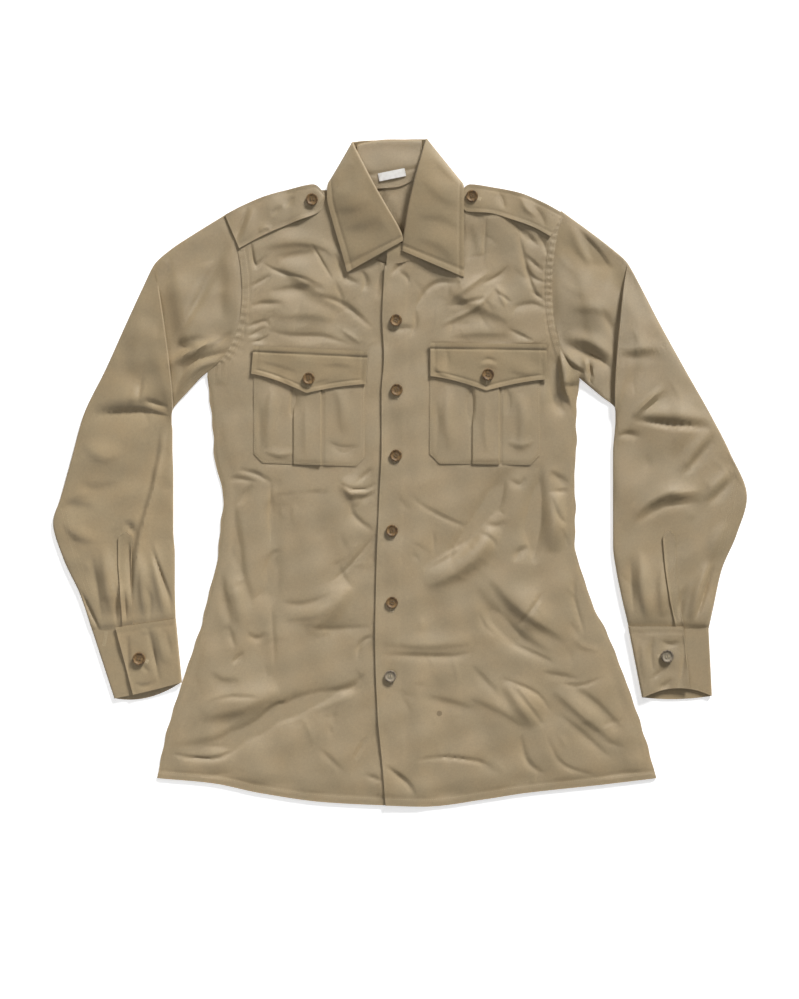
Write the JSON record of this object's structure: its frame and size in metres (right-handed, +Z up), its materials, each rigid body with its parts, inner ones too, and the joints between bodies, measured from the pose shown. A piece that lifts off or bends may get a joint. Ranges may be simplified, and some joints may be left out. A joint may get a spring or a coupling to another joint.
{
  "type": "long-sleeved field shirt, laid flat",
  "caption": "Khaki cotton field shirt laid flat, buttoned, with pointed collar, shoulder straps and flapped pleated chest pockets.",
  "frame": {"origin": "on the surface that the shirt lies on, under the middle of its outline", "axes": "+X to the right as seen from above, +Y from the hem towards the collar, +Z up from the surface"},
  "size_m": [0.868, 0.8343, 0.0151],
  "materials": {
    "khaki_twill": "fine cotton twill with a slight sheen",
    "button_brown": "mottled brown, half matt",
    "label_tape": "woven white tape, bare"
  },
  "bodies": {
    "root": {"back": "khaki_twill", "front_left": "khaki_twill", "front_right": "khaki_twill", "collar_stand": "khaki_twill", "collar_leaf": "khaki_twill", "sleeve_left": "khaki_twill", "sleeve_right": "khaki_twill", "sleeve_placket_left": "khaki_twill", "sleeve_placket_right": "khaki_twill", "cuff_left": "khaki_twill", "cuff_right": "khaki_twill", "pocket_left": "khaki_twill", "pocket_right": "khaki_twill", "flap_left": "khaki_twill", "flap_right": "khaki_twill", "shoulder_strap_left": "khaki_twill", "shoulder_strap_right": "khaki_twill", "neck_label": "label_tape", "button_front_1": "button_brown", "button_front_2": "button_brown", "button_front_3": "button_brown", "button_front_4": "button_brown", "button_front_5": "button_brown", "button_front_6": "button_brown", "button_pocket_left": "button_brown", "button_pocket_right": "button_brown", "button_strap_left": "button_brown", "button_strap_right": "button_brown", "button_cuff_left": "button_brown", "button_cuff_right": "button_brown"}
  },
  "joints": []
}
